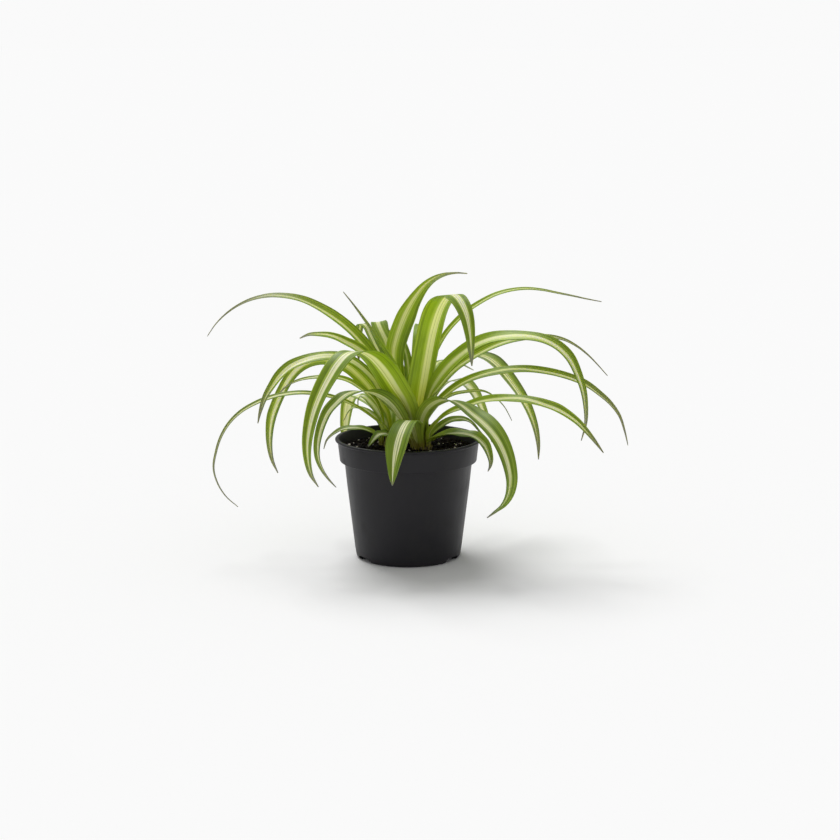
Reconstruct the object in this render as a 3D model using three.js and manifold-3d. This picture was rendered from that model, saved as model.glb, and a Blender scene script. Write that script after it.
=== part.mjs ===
// Potted spider plant: an arching, cream-striped Chlorophytum in a black nursery pot.
// Millimetres, +Z up. The pot stands on z = 0 with its axis on the Z axis.
import * as THREE from "three";
import { mergeVertices } from "three/addons/utils/BufferGeometryUtils.js";
import Module from "manifold-3d";

// ---------------------------------------------------------------- driving dimensions
const POT_HEIGHT = 99;
const LIP_RADIUS = 60;
const LIP_HEIGHT = 2.2;
const BAND_TOP_RADIUS = 58;
const BAND_LOW_RADIUS = 56.2;
const BAND_DEPTH = 18.5;
const WALL_TOP_RADIUS = 52.6;
const WALL_LOW_RADIUS = 43.2;
const WALL = 1.6;
const FLOOR = 1.8;
const CORNER = 2.5;
const ROUND_STEPS = 72;

const DRAIN_ANGLES = [-32, 212, 90];
const DRAIN_WIDTH = 17;
const DRAIN_HEIGHT = 3.6;
const DRAIN_INNER_RADIUS = 35;

const SOIL_DEPTH_BELOW_RIM = 8.7;
const SOIL_SAG = 0.8;
const GAP = 0.3;

const CROWN_HEIGHT = 2.5;
const FOOT_GAP = 0.5;
const CROWNS = [
  { name: "crown_main", at: [11, -4], radius: 10.5 },
  { name: "crown_left", at: [-17, 8], radius: 8.6 },
  { name: "crown_back", at: [5, 18], radius: 9 },
];

// The blade is narrow at its foot, widest along its belly and a thread at its tip. A belly is
// given by the shares of the length where it starts and ends. A taper under 1 keeps the blade
// wide for longer.
const FOOT_WIDTH = 3.4;
const TIP_WIDTH = 0.8;
const BELLY = [0.3, 0.5];
const TAPER = 0.8;
const SETTLED = 0.3;
const ROLL_START = 0.2;
const ROLL_END = 0.6;
const BLADE_THICKNESS = 0.9;
const TIP_THICKNESS = 0.4;
const BLADE_STEPS = 18;

const SOIL_TOP = POT_HEIGHT - SOIL_DEPTH_BELOW_RIM;

// Every leaf rises from its foot [x, y] on a crown and follows its route, a list of
// [reach, height, drift]. Reach runs along the heading, in degrees from +X towards +Y, and
// drift, where given, is to the right of it. Roll banks the blade to the right of its heading:
// one value on the way up and one on the way down. A fold of 0.2 makes a channel one fifth as deep
// as the blade is wide.
const LEAVES = [
  // the left-hand fan of the main crown
  { name: "leaf_left_long_arch", foot: [-5.5, 15.5], heading: 170, width: 12,
      roll: [-35, -25], fold: 0.2, taper: 1.15, route: [[0, 118], [13, 146], [28, 169],
      [45, 187], [62, 199], [87, 210], [113, 212], [139, 202], [157, 187], [165, 176]] },
  { name: "leaf_left_needle", foot: [6, -4], heading: 212, width: 8, roll: [-40, -40],
    fold: 0.3, route: [[3, 119], [11, 142], [22, 164], [34, 181], [47, 199], [61, 217],
      [67, 224]] },
  { name: "leaf_left_broad", foot: [4, -7], heading: 222, width: 22, roll: [45, -10],
    fold: 0.12, taper: 0.75, route: [[4, 122], [20, 145], [35, 164], [50, 176],
      [65, 179], [79, 171], [91, 157], [102, 140], [109, 121], [111, 105], [108, 87],
      [100, 74]] },
  { name: "leaf_left_upper", foot: [3, 0], heading: 184, width: 15, roll: [-50, -35],
    fold: 0.2, route: [[6, 119], [16, 136], [28, 156.5], [41, 171], [54, 179],
      [66, 184.5], [84, 185], [91, 182]] },
  { name: "leaf_left_middle", foot: [2, -3], heading: 196, width: 12, roll: [-40, -25],
    fold: 0.18, belly: [0.3, 0.75], route: [[9, 115], [22, 133], [32, 150], [44, 162],
      [57, 169], [71, 171], [88, 168], [103, 161], [114, 149], [122, 136], [127, 118]] },
  { name: "leaf_left_low", foot: [5, -11], heading: 208, width: 14, roll: [40, -15],
    fold: 0.22, route: [[10, 115], [20, 129.5], [31, 139], [44, 144.2], [58, 144.2],
      [68, 138], [78, 128.5], [84, 116], [87, 103], [86, 90], [80, 78], [71, 67]] },
  // the left-hand crown
  { name: "leaf_side_tall_arch", foot: [-18, 10.5], heading: 167, width: 11,
      roll: [-55, -60], fold: 0.15, belly: [0.3, 0.78], route: [[-2, 111], [10, 132],
      [23, 147], [35, 156], [52, 161], [70, 156], [83, 143], [92, 126], [99, 108],
      [101, 90], [99, 74], [94, 62]] },
  { name: "leaf_side_short", foot: [-21.5, 5.5], heading: 184, width: 7, roll: [-25, -25],
    fold: 0.2, route: [[0, 114], [6, 129], [16, 138], [28, 146], [40, 149], [54, 149],
      [69, 146], [77, 142], [84, 136]] },
  { name: "leaf_side_whip", foot: [-19, 2], heading: 188, width: 5.5, roll: [-25, -25],
    fold: 0.2, route: [[-2.5, 103], [7.5, 113], [20.5, 123], [33.5, 130], [48.5, 135],
      [69.5, 138], [91.5, 135], [109.5, 128], [122.5, 119], [132.5, 106], [138.5, 90],
      [140.5, 75], [136.5, 62], [128.5, 50], [121.5, 44]] },
  { name: "leaf_side_behind", foot: [-11.5, 14.5], heading: 122, width: 17, roll: [0, 0],
    fold: 0.12, route: [[9, 109], [26, 117], [42, 121], [59, 123], [71, 120], [77, 112],
      [80, 102], [82, 91], [82, 76], [80, 61]] },
  { name: "leaf_side_curl", foot: [-22, 11], heading: 160, width: 5, roll: [-20, -20],
    fold: 0.2, route: [[0, 104], [5, 113], [14, 119], [23, 121], [29, 117], [34, 108]] },
  { name: "leaf_side_stub", foot: [-17, 14], heading: 140, width: 7, roll: [-30, -30],
    fold: 0.2, route: [[2, 107], [10, 116], [18, 123], [27, 128], [31, 127], [33, 122],
      [32, 117]] },
  { name: "leaf_side_over_rim", foot: [-23.5, 3], heading: 183, width: 8, roll: [-15, -15],
    fold: 0.2, route: [[1, 98], [8, 104], [18, 107], [28, 106.5], [36, 103], [43, 97],
      [46, 89]] },
  { name: "leaf_side_small", foot: [-13.3, 0.4], heading: 208, width: 11, roll: [-15, -15],
    fold: 0.2, route: [[1, 98, -1], [6, 103.5, -3], [13, 104, -3.5], [19, 99, -3],
      [23, 93.5, -2]] },
  { name: "leaf_side_back", foot: [-9.5, 8], heading: 88, width: 9, roll: [0, 0],
    fold: 0.2, route: [[4, 103], [12, 111], [24, 116], [38, 115], [50, 110], [59, 99],
      [63, 84]] },
  // the front and the tall middle
  { name: "leaf_front_short", foot: [8, -12], heading: 256, width: 17.5, roll: [0, 0],
    fold: 0.15, belly: [0.62, 0.74], route: [[5, 104, 1], [15, 113, 0.5], [28, 120, -1],
      [42, 124, -2.5], [57, 121, -2], [68, 113, -1], [75, 101], [80, 90], [82, 79]] },
  { name: "leaf_top_curl", foot: [0.5, 11], heading: 25, width: 17, roll: [40, 45],
    fold: 0.12, belly: [0.5, 0.6], taper: 1.5, route: [[-4, 118], [-8, 136], [-12, 156],
      [-12, 170], [-8, 184], [-1, 200], [8, 214], [19, 225], [31, 230], [43, 231],
      [53, 230]] },
  { name: "leaf_top_broad", foot: [8, 1], heading: 300, width: 24, roll: [0, 0], fold: 0.1,
      belly: [0.3, 0.6], route: [[-2, 117], [2, 135], [6, 156, -1.5], [11, 177, -2.5],
      [19, 197, -3], [30, 213, -3], [44, 222, -2], [61, 221], [72, 212], [79, 200],
      [82, 186], [84, 170]] },
  { name: "leaf_top_hook", foot: [6, 21], heading: 122, width: 8, roll: [-20, -20],
    fold: 0.15, route: [[5, 126], [9, 144], [13, 160], [20, 172], [29, 179], [39, 180],
      [45, 177]] },
  { name: "leaf_top_folded", foot: [1.5, 18.5], heading: 149, width: 12, roll: [-30, 4],
    fold: 0.05, belly: [0.5, 0.75], taper: 0.6, route: [[2, 119], [14, 139, -1.5],
      [26, 160, -3], [36, 177, -3], [43, 187, -2], [47, 188, -1], [50, 181], [51, 168],
      [50, 155]] },
  { name: "leaf_top_back", foot: [2, 22], heading: 132, width: 16, roll: [-15, 0],
    fold: 0.12, belly: [0.3, 0.7], taper: 0.6, route: [[6, 121], [18, 147], [27, 165],
      [34, 178], [41, 185], [47, 187, 6], [52, 181, 13], [55, 168, 17], [57, 150, 19],
      [58, 130, 20], [58, 112, 20]] },
  { name: "leaf_new_spear", foot: [4.5, -1], heading: 180, width: 4, roll: [0, 0],
    fold: 0.3, route: [[1, 104], [4, 114], [7, 124]] },
  { name: "leaf_new_pale", foot: [10, -4.5], heading: 150, width: 4, roll: [0, 0],
    fold: 0.3, route: [[0.5, 104], [1.5, 113], [3, 121]] },
  // the right-hand fan
  { name: "leaf_right_long_arch", foot: [9, 13], heading: 12, width: 6, roll: [25, 25],
    fold: 0.2, route: [[1, 127], [9, 157], [22, 182], [34, 195], [47, 205], [68, 215],
      [92, 218], [119, 213], [145, 207], [155, 205]] },
  { name: "leaf_right_broad", foot: [13, -2], heading: 346, width: 14, roll: [60, 20],
    fold: 0.12, belly: [0.3, 0.72], route: [[1, 125], [7, 141], [17, 156.5], [30, 169.5],
      [42, 178], [56, 184], [73, 187], [89, 187], [104, 182.5], [117, 173], [126, 158],
      [131, 144], [133, 130], [133, 116], [130, 103]] },
  { name: "leaf_right_striped", foot: [14, 3], heading: 6, width: 10, roll: [30, 25],
    fold: 0.2, taper: 1.15, route: [[2, 127], [12, 142], [24, 155], [41, 166], [57, 174],
      [74, 179], [94, 181], [111, 179], [128, 170], [140, 159], [151, 147]] },
  { name: "leaf_right_level", foot: [17, 0], heading: 2, width: 10, roll: [25, 25],
    fold: 0.2, belly: [0.4, 0.72], route: [[0, 119], [9, 130], [21, 140], [33, 147],
      [50, 153], [70, 156], [91, 154], [111, 149.5], [128, 142.5], [142, 132], [154, 120],
      [160, 106], [164, 91]] },
  { name: "leaf_right_behind", foot: [12, 17], heading: 38, width: 17, roll: [-15, -20],
    fold: 0.12, route: [[5, 131], [21, 148], [42, 159], [60, 160], [76, 153], [89, 141],
      [102, 126], [113, 111], [122, 94], [127, 77], [128, 60]] },
  { name: "leaf_right_low", foot: [17, -5], heading: 334, width: 11, roll: [25, 20],
    fold: 0.2, belly: [0.35, 0.72], route: [[-2, 97], [6, 112], [17, 121.5], [29, 127],
      [45, 133.5], [63, 137.5], [82, 139.5], [99, 136.5], [115, 132], [130, 123.5],
      [142, 112], [152, 101]] },
  { name: "leaf_right_front_broad", foot: [12, -9], heading: 312, width: 19,
      roll: [-20, 12], fold: 0.15, route: [[-2, 106], [3, 121], [14, 131], [29, 137],
      [45, 136], [62, 129], [78, 121], [91, 110], [100, 95], [103, 80], [98, 65], [88, 56],
      [76, 47]] },
  { name: "leaf_right_over_rim", foot: [17, -9], heading: 336, width: 12, roll: [15, 15],
    fold: 0.2, belly: [0.35, 0.7], route: [[-1, 95], [8, 102], [18, 106], [30, 107.5],
      [41, 105], [49, 99], [53, 90], [54, 83], [52, 77]] },
  { name: "leaf_right_small", foot: [18, 4], heading: 14, width: 8.5, roll: [20, 20],
    fold: 0.2, route: [[0, 98], [7, 106], [17, 112], [27, 113], [35, 109], [42, 101],
      [50, 93]] },
  { name: "leaf_right_thin", foot: [13, 12], heading: 28, width: 4.5, roll: [20, 20],
    fold: 0.2, route: [[3, 111], [15, 125], [29, 131], [43, 132], [58, 130], [68, 124],
      [77, 115], [84, 103]] },
  { name: "leaf_right_pale", foot: [13, 21], heading: 54, width: 13, roll: [-10, -20],
    fold: 0.15, route: [[5, 121], [20, 133], [37, 138], [53, 136], [70, 126], [83, 111],
      [94, 93], [101, 74]] },
  { name: "leaf_right_far", foot: [9, 22], heading: 61, width: 8, roll: [10, 0],
    fold: 0.15, route: [[6, 129], [17, 144], [30, 153], [44, 153], [66, 148], [97, 137]] },
  // hanging away behind the plant
  { name: "leaf_back_tall", foot: [7, 26], heading: 86, width: 12, roll: [0, 0],
    fold: 0.15, route: [[5, 120], [14, 145], [27, 165], [44, 178], [64, 180], [84, 170],
      [101, 152], [113, 130], [119, 108]] },
  { name: "leaf_back_low", foot: [3, 26], heading: 98, width: 12, roll: [0, 0],
    fold: 0.15, route: [[5, 106], [15, 118], [30, 127], [48, 130], [66, 125], [80, 112],
      [89, 96], [92, 76]] },
];

// ---------------------------------------------------------------- shared helpers
const wasm = await Module();
wasm.setup();

function toSolid(geometry) {
  const bare = geometry.index ? geometry.toNonIndexed() : geometry.clone();
  bare.deleteAttribute("normal");
  bare.deleteAttribute("uv");
  const welded = mergeVertices(bare, 1e-4);
  return new wasm.Manifold(new wasm.Mesh({
    numProp: 3,
    vertProperties: new Float32Array(welded.attributes.position.array),
    triVerts: new Uint32Array(welded.index.array),
  }));
}

function toGeometry(solid) {
  const mesh = solid.getMesh();
  const geometry = new THREE.BufferGeometry();
  geometry.setAttribute("position", new THREE.BufferAttribute(mesh.vertProperties, 3));
  geometry.setIndex(new THREE.BufferAttribute(mesh.triVerts, 1));
  return geometry;
}

// Turns a closed outline of [radius, height] points about the Z axis.
function turned(outline, steps = ROUND_STEPS) {
  const points = outline.map(([radius, height]) => new THREE.Vector2(radius, height));
  const geometry = new THREE.LatheGeometry(points, steps);
  geometry.rotateX(Math.PI / 2);
  return geometry;
}

function addMesh(group, name, geometry, material) {
  const bare = geometry.clone();
  bare.deleteAttribute("normal");
  bare.deleteAttribute("uv");
  const welded = mergeVertices(bare, 1e-4);
  welded.computeVertexNormals();
  const mesh = new THREE.Mesh(welded, material);
  mesh.name = name;
  group.add(mesh);
}

// ---------------------------------------------------------------- pot and soil
const BAND_BOTTOM = POT_HEIGHT - BAND_DEPTH;

function potOutline() {
  const lipBottom = POT_HEIGHT - LIP_HEIGHT;
  return [
    [0, 0],
    [WALL_LOW_RADIUS - CORNER, 0],
    [WALL_LOW_RADIUS - CORNER * 0.3, CORNER * 0.3],
    [WALL_LOW_RADIUS, CORNER],
    [WALL_TOP_RADIUS, BAND_BOTTOM - 0.6],
    [BAND_LOW_RADIUS - 0.6, BAND_BOTTOM - 0.4],
    [BAND_LOW_RADIUS, BAND_BOTTOM + 0.4],
    [BAND_TOP_RADIUS, lipBottom],
    [LIP_RADIUS - 0.5, lipBottom + 0.3],
    [LIP_RADIUS, lipBottom + LIP_HEIGHT / 2],
    [LIP_RADIUS - 0.4, POT_HEIGHT - 0.3],
    [LIP_RADIUS - 1.2, POT_HEIGHT],
    [BAND_TOP_RADIUS - WALL + 0.5, POT_HEIGHT - 0.2],
    [BAND_TOP_RADIUS - WALL, POT_HEIGHT - 1.2],
    [BAND_LOW_RADIUS - WALL, BAND_BOTTOM + 1.6],
    [WALL_TOP_RADIUS - WALL, BAND_BOTTOM - 0.4],
    [WALL_LOW_RADIUS - WALL, CORNER + 1],
    [WALL_LOW_RADIUS - WALL - 1.5, FLOOR],
    [0, FLOOR],
  ];
}

// A slot through the floor and the foot of the wall, rounded at its top corners.
function drainSlot(angle) {
  const half = DRAIN_WIDTH / 2;
  const shape = new THREE.Shape();
  shape.moveTo(-half, -2);
  shape.lineTo(half, -2);
  shape.lineTo(half, DRAIN_HEIGHT - 2);
  shape.lineTo(half - 2, DRAIN_HEIGHT);
  shape.lineTo(-half + 2, DRAIN_HEIGHT);
  shape.lineTo(-half, DRAIN_HEIGHT - 2);
  shape.closePath();
  const depth = WALL_LOW_RADIUS + 6 - DRAIN_INNER_RADIUS;
  const slot = new THREE.ExtrudeGeometry(shape, { depth, bevelEnabled: false });
  slot.rotateX(Math.PI / 2);
  slot.translate(0, DRAIN_INNER_RADIUS + depth, 0);
  slot.rotateZ(THREE.MathUtils.degToRad(angle - 90));
  return slot;
}

function buildPot() {
  let pot = toSolid(turned(potOutline()));
  for (const angle of DRAIN_ANGLES) {
    pot = pot.subtract(toSolid(drainSlot(angle)));
  }
  return toGeometry(pot);
}

function innerRadiusAt(height) {
  const from = [BAND_LOW_RADIUS - WALL, BAND_BOTTOM + 1.6];
  const to = [BAND_TOP_RADIUS - WALL, POT_HEIGHT - 1.2];
  const share = (height - from[1]) / (to[1] - from[1]);
  return from[0] + (to[0] - from[0]) * share;
}

function buildSoil() {
  const edgeHeight = SOIL_TOP - SOIL_SAG;
  return turned([
    [0, FLOOR + GAP],
    [WALL_LOW_RADIUS - WALL - 1.5 - GAP, FLOOR + GAP],
    [WALL_LOW_RADIUS - WALL - GAP, CORNER + 1 + GAP],
    [WALL_TOP_RADIUS - WALL - GAP, BAND_BOTTOM - 0.2],
    [BAND_LOW_RADIUS - WALL - GAP, BAND_BOTTOM + 2],
    [innerRadiusAt(edgeHeight) - GAP, edgeHeight],
    [WALL_TOP_RADIUS - 8, SOIL_TOP - SOIL_SAG * 0.4],
    [32, SOIL_TOP],
    [0, SOIL_TOP],
  ]);
}

// ---------------------------------------------------------------- crowns and leaves
function buildCrown({ at, radius }) {
  const crown = turned([
    [0, 0],
    [radius, 0],
    [radius, CROWN_HEIGHT * 0.5],
    [radius - 0.7, CROWN_HEIGHT * 0.85],
    [radius - 2, CROWN_HEIGHT],
    [0, CROWN_HEIGHT],
  ], 24);
  crown.translate(at[0], at[1], SOIL_TOP + GAP);
  return crown;
}

// The blade's width at t, which runs from 0 at the foot to 1 at the tip.
function bladeWidth(t, { width, belly = BELLY, taper = TAPER }) {
  if (t < belly[0]) {
    const rise = THREE.MathUtils.smoothstep(t, 0, belly[0]);
    return FOOT_WIDTH + (width - FOOT_WIDTH) * rise;
  }
  if (t > belly[1]) {
    const fall = (t - belly[1]) / (1 - belly[1]);
    return TIP_WIDTH + (width - TIP_WIDTH) * Math.pow(1 - fall, taper);
  }
  return width;
}

// The leaf's spine, from just above the crown to the tip.
function leafSpine({ foot, route }, ahead, right) {
  const start = [0, SOIL_TOP + GAP + CROWN_HEIGHT + FOOT_GAP];
  const stations = [start, ...route].map(([reach, height, drift = 0]) => {
    const station = new THREE.Vector3(foot[0], foot[1], height);
    return station.addScaledVector(ahead, reach).addScaledVector(right, drift);
  });
  return new THREE.CatmullRomCurve3(stations, false, "centripetal");
}

// Splits the quads on the blade's underside along the same diagonals as the ones above them, so
// that a twisted blade keeps its thickness.
function matchDiagonals(blade) {
  const index = blade.index;
  const perColumn = BLADE_STEPS * 6;
  for (const column of [1, 3]) {
    for (let i = column * perColumn; i < (column + 1) * perColumn; i += 6) {
      const nearCorner = index.getX(i);
      const farCorner = index.getX(i + 4);
      index.setX(i + 2, farCorner);
      index.setX(i + 3, nearCorner);
    }
  }
}

// Bends a four-sided rod, one unit long, into a channelled blade along the leaf's spine.
function buildLeaf(leaf) {
  const { heading, roll, fold } = leaf;
  const turn = THREE.MathUtils.degToRad(heading);
  const ahead = new THREE.Vector3(Math.cos(turn), Math.sin(turn), 0);
  const right = new THREE.Vector3(Math.sin(turn), -Math.cos(turn), 0);
  const spine = leafSpine(leaf, ahead, right);
  const blade = new THREE.CylinderGeometry(1, 1, 1, 4, BLADE_STEPS);
  matchDiagonals(blade);
  const place = blade.attributes.position;
  for (let i = 0; i < place.count; i += 1) {
    const t = 0.5 + place.getY(i);
    const across = place.getX(i);
    const through = place.getZ(i);
    const along = spine.getTangentAt(t);
    const settled = THREE.MathUtils.smoothstep(t, 0, SETTLED);
    const over = THREE.MathUtils.smoothstep(t, ROLL_START, ROLL_END);
    const degrees = THREE.MathUtils.lerp(roll[0], roll[1], over) * settled;
    const bank = THREE.MathUtils.degToRad(degrees);
    const face = new THREE.Vector3().crossVectors(right, along).normalize();
    const side = right.clone().multiplyScalar(Math.cos(bank));
    side.addScaledVector(face, -Math.sin(bank));
    const up = new THREE.Vector3().crossVectors(side, along).normalize();
    const wide = bladeWidth(t, leaf);
    const thick = THREE.MathUtils.lerp(BLADE_THICKNESS, TIP_THICKNESS, t);
    const lift = (Math.abs(across) - 0.5) * wide * fold;
    const point = spine.getPointAt(t);
    point.addScaledVector(side, across * wide / 2);
    point.addScaledVector(up, through * thick / 2 + lift);
    place.setXYZ(i, point.x, point.y, point.z);
  }
  return blade;
}

// ---------------------------------------------------------------- assembly
const plastic = new THREE.MeshStandardMaterial({ color: 0x2b2b2d, roughness: 0.55 });
const earth = new THREE.MeshStandardMaterial({ color: 0x1d1814, roughness: 0.95 });
const root = new THREE.MeshStandardMaterial({ color: 0xb9b487, roughness: 0.8 });
const foliage = new THREE.MeshStandardMaterial({ color: 0x86a04a, roughness: 0.5 });

const plant = new THREE.Group();
plant.name = "potted_spider_plant";
addMesh(plant, "pot", buildPot(), plastic);
addMesh(plant, "soil", buildSoil(), earth);
for (const crown of CROWNS) {
  addMesh(plant, crown.name, buildCrown(crown), root);
}
for (const leaf of LEAVES) {
  addMesh(plant, leaf.name, buildLeaf(leaf), foliage);
}

export default plant;
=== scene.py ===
"""Looks for the potted spider plant: a black nursery pot, potting soil and arching striped leaves.

Every piece is in metres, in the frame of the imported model. Blades are read from that model's own
leaves, so each one lies where its solid lies.
"""

import logging
import math
import random
from dataclasses import dataclass, field
from enum import Enum
from typing import Callable, Iterable, Optional, Sequence

import bmesh
import bpy
from mathutils import Matrix, Vector, noise

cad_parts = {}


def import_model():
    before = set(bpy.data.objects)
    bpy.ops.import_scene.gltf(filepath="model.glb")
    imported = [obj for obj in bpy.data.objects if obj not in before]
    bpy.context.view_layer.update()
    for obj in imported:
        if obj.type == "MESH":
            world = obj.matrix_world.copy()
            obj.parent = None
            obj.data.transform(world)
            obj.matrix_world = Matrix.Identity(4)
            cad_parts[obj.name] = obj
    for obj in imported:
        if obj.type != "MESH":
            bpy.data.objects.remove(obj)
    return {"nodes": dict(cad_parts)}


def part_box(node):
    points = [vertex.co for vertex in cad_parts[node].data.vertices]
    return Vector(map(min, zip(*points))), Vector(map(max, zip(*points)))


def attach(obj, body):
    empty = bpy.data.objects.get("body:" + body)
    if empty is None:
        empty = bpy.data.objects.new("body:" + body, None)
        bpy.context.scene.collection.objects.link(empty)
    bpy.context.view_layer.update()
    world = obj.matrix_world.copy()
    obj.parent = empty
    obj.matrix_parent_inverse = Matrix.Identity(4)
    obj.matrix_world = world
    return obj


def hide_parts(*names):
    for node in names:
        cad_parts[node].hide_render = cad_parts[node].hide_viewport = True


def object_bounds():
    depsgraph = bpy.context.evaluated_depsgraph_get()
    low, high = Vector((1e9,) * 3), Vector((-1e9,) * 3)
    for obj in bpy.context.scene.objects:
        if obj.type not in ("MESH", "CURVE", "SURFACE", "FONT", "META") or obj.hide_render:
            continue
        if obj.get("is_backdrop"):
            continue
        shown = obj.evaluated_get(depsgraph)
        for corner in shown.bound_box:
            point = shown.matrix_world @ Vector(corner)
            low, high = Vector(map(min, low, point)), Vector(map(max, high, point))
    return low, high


Colour = tuple[float, float, float, float]
Socket = bpy.types.NodeSocket
Frame = dict[str, object]

LOG = logging.getLogger("spider_plant")
MM = 0.001
BODY = "root"
BLADE_UV = "blade"
BLADE_SEED = "blade_seed"
BLADE_STRIPE = "blade_stripe"
BLADE_SHIFT = "blade_shift"
BLADE_DRY = "blade_dry"
BLADE_CREST = "blade_crest"


def colour(red: float, green: float, blue: float) -> Colour:
    """A linear colour from display values.

    Args:
        red: Red, 0 to 255.
        green: Green, 0 to 255.
        blue: Blue, 0 to 255.

    Returns:
        The linear colour, with full alpha.
    """

    def linear(value: float) -> float:
        """One channel made linear."""
        share = value / 255.0
        return share / 12.92 if share <= 0.04045 else ((share + 0.055) / 1.055) ** 2.4

    return (linear(red), linear(green), linear(blue), 1.0)


def ease(low: float, high: float, value: float) -> float:
    """A smooth step from 0 at low to 1 at high."""
    share = min(max((value - low) / (high - low), 0.0), 1.0)
    return share * share * (3.0 - 2.0 * share)


def along(points: Sequence[Vector], share: float) -> Vector:
    """A point on the smooth curve through evenly spaced points.

    Args:
        points: The points, at equal steps of the share.
        share: 0 at the first point and 1 at the last.

    Returns:
        The point on the curve.
    """
    place = min(max(share, 0.0), 1.0) * (len(points) - 1)
    index = min(int(place), len(points) - 2)
    step = place - index
    before = points[index - 1] if index else points[0] * 2.0 - points[1]
    start, end = points[index], points[index + 1]
    last = index + 2 >= len(points)
    after = points[-1] * 2.0 - points[-2] if last else points[index + 2]
    return 0.5 * (
        2.0 * start
        + (end - before) * step
        + (2.0 * before - 5.0 * start + 4.0 * end - after) * step**2
        + (3.0 * start - before - 3.0 * end + after) * step**3
    )


# ------------------------------------------------------------------ node trees


class Sketch:
    """A node tree being drawn, with short calls for the nodes the finishes share."""

    def __init__(self, tree: bpy.types.NodeTree) -> None:
        """Starts on a tree.

        Args:
            tree: The material's or group's node tree.
        """
        self.tree = tree

    def node(self, kind: str, **settings: object) -> bpy.types.Node:
        """Adds a node.

        Args:
            kind: The node's type name.
            **settings: Its properties.

        Returns:
            The node.
        """
        node = self.tree.nodes.new(kind)
        for name, value in settings.items():
            setattr(node, name, value)
        return node

    def feed(self, socket: Socket, value: object) -> None:
        """Links a socket to an output, or sets its value."""
        if isinstance(value, bpy.types.NodeSocket):
            self.tree.links.new(value, socket)
        else:
            socket.default_value = value

    def math(self, operation: str, *values: object, clamp: bool = False) -> Socket:
        """Adds a Math node over up to three sockets or numbers and gives its result."""
        node = self.node("ShaderNodeMath", operation=operation, use_clamp=clamp)
        for socket, value in zip(node.inputs, values):
            self.feed(socket, value)
        return node.outputs[0]

    def step(self, low: object, high: object, value: object) -> Socket:
        """Adds a smooth step from 0 at low to 1 at high."""
        node = self.node("ShaderNodeMapRange", interpolation_type="SMOOTHSTEP")
        self.feed(node.inputs["Value"], value)
        self.feed(node.inputs["From Min"], low)
        self.feed(node.inputs["From Max"], high)
        return node.outputs["Result"]

    def blend(self, share: object, first: object, second: object, how: str = "MIX") -> Socket:
        """Mixes two colours.

        Args:
            share: How much of the second, from 0 to 1.
            first: The first colour.
            second: The second colour.
            how: The Mix node's blend type.

        Returns:
            The mixed colour.
        """
        node = self.node("ShaderNodeMix", data_type="RGBA", blend_type=how)
        self.feed(node.inputs[0], share)
        self.feed(node.inputs[6], first)
        self.feed(node.inputs[7], second)
        return node.outputs[2]

    def stretched(self, vector: Socket, scale: Sequence[float]) -> Socket:
        """A vector scaled by its own amount on each axis."""
        node = self.node("ShaderNodeMapping")
        self.feed(node.inputs["Vector"], vector)
        node.inputs["Scale"].default_value = scale
        return node.outputs["Vector"]

    def cloud(
        self, vector: Socket, scale: float, detail: float = 3.0, seed: Optional[Socket] = None
    ) -> Socket:
        """A noise value.

        Args:
            vector: Where it is read.
            scale: Its scale.
            detail: Its levels of detail.
            seed: A socket that changes the pattern.

        Returns:
            A value around 0.5.
        """
        sort = "4D" if seed is not None else "3D"
        node = self.node("ShaderNodeTexNoise", noise_dimensions=sort)
        self.feed(node.inputs["Vector"], vector)
        node.inputs["Scale"].default_value = scale
        node.inputs["Detail"].default_value = detail
        if seed is not None:
            self.feed(node.inputs["W"], seed)
        return node.outputs["Fac"]

    def bump(self, height: Socket, strength: float, distance: float) -> Socket:
        """A normal from a height.

        Args:
            height: The height.
            strength: The bump's strength.
            distance: How deep a height of 1 is, in metres.

        Returns:
            The normal.
        """
        node = self.node("ShaderNodeBump")
        node.inputs["Strength"].default_value = strength
        node.inputs["Distance"].default_value = distance
        self.feed(node.inputs["Height"], height)
        return node.outputs["Normal"]

    def object_place(self) -> Socket:
        """The piece's own Object coordinates."""
        return self.node("ShaderNodeTexCoord").outputs["Object"]


def new_group(name: str, inputs: Sequence[tuple[str, float]], outputs: Sequence[str]) -> Sketch:
    """Starts a node group.

    Args:
        name: The group's name.
        inputs: Its number inputs, with their default values.
        outputs: Its outputs. One named Normal is a vector and the others are numbers.

    Returns:
        A sketch on the group's tree.
    """
    tree = bpy.data.node_groups.new(name, "ShaderNodeTree")
    for label, value in inputs:
        made = tree.interface.new_socket(label, in_out="INPUT", socket_type="NodeSocketFloat")
        made.default_value = value
    for label in outputs:
        kind = "NodeSocketVector" if label == "Normal" else "NodeSocketFloat"
        tree.interface.new_socket(label, in_out="OUTPUT", socket_type=kind)
    return Sketch(tree)


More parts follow.
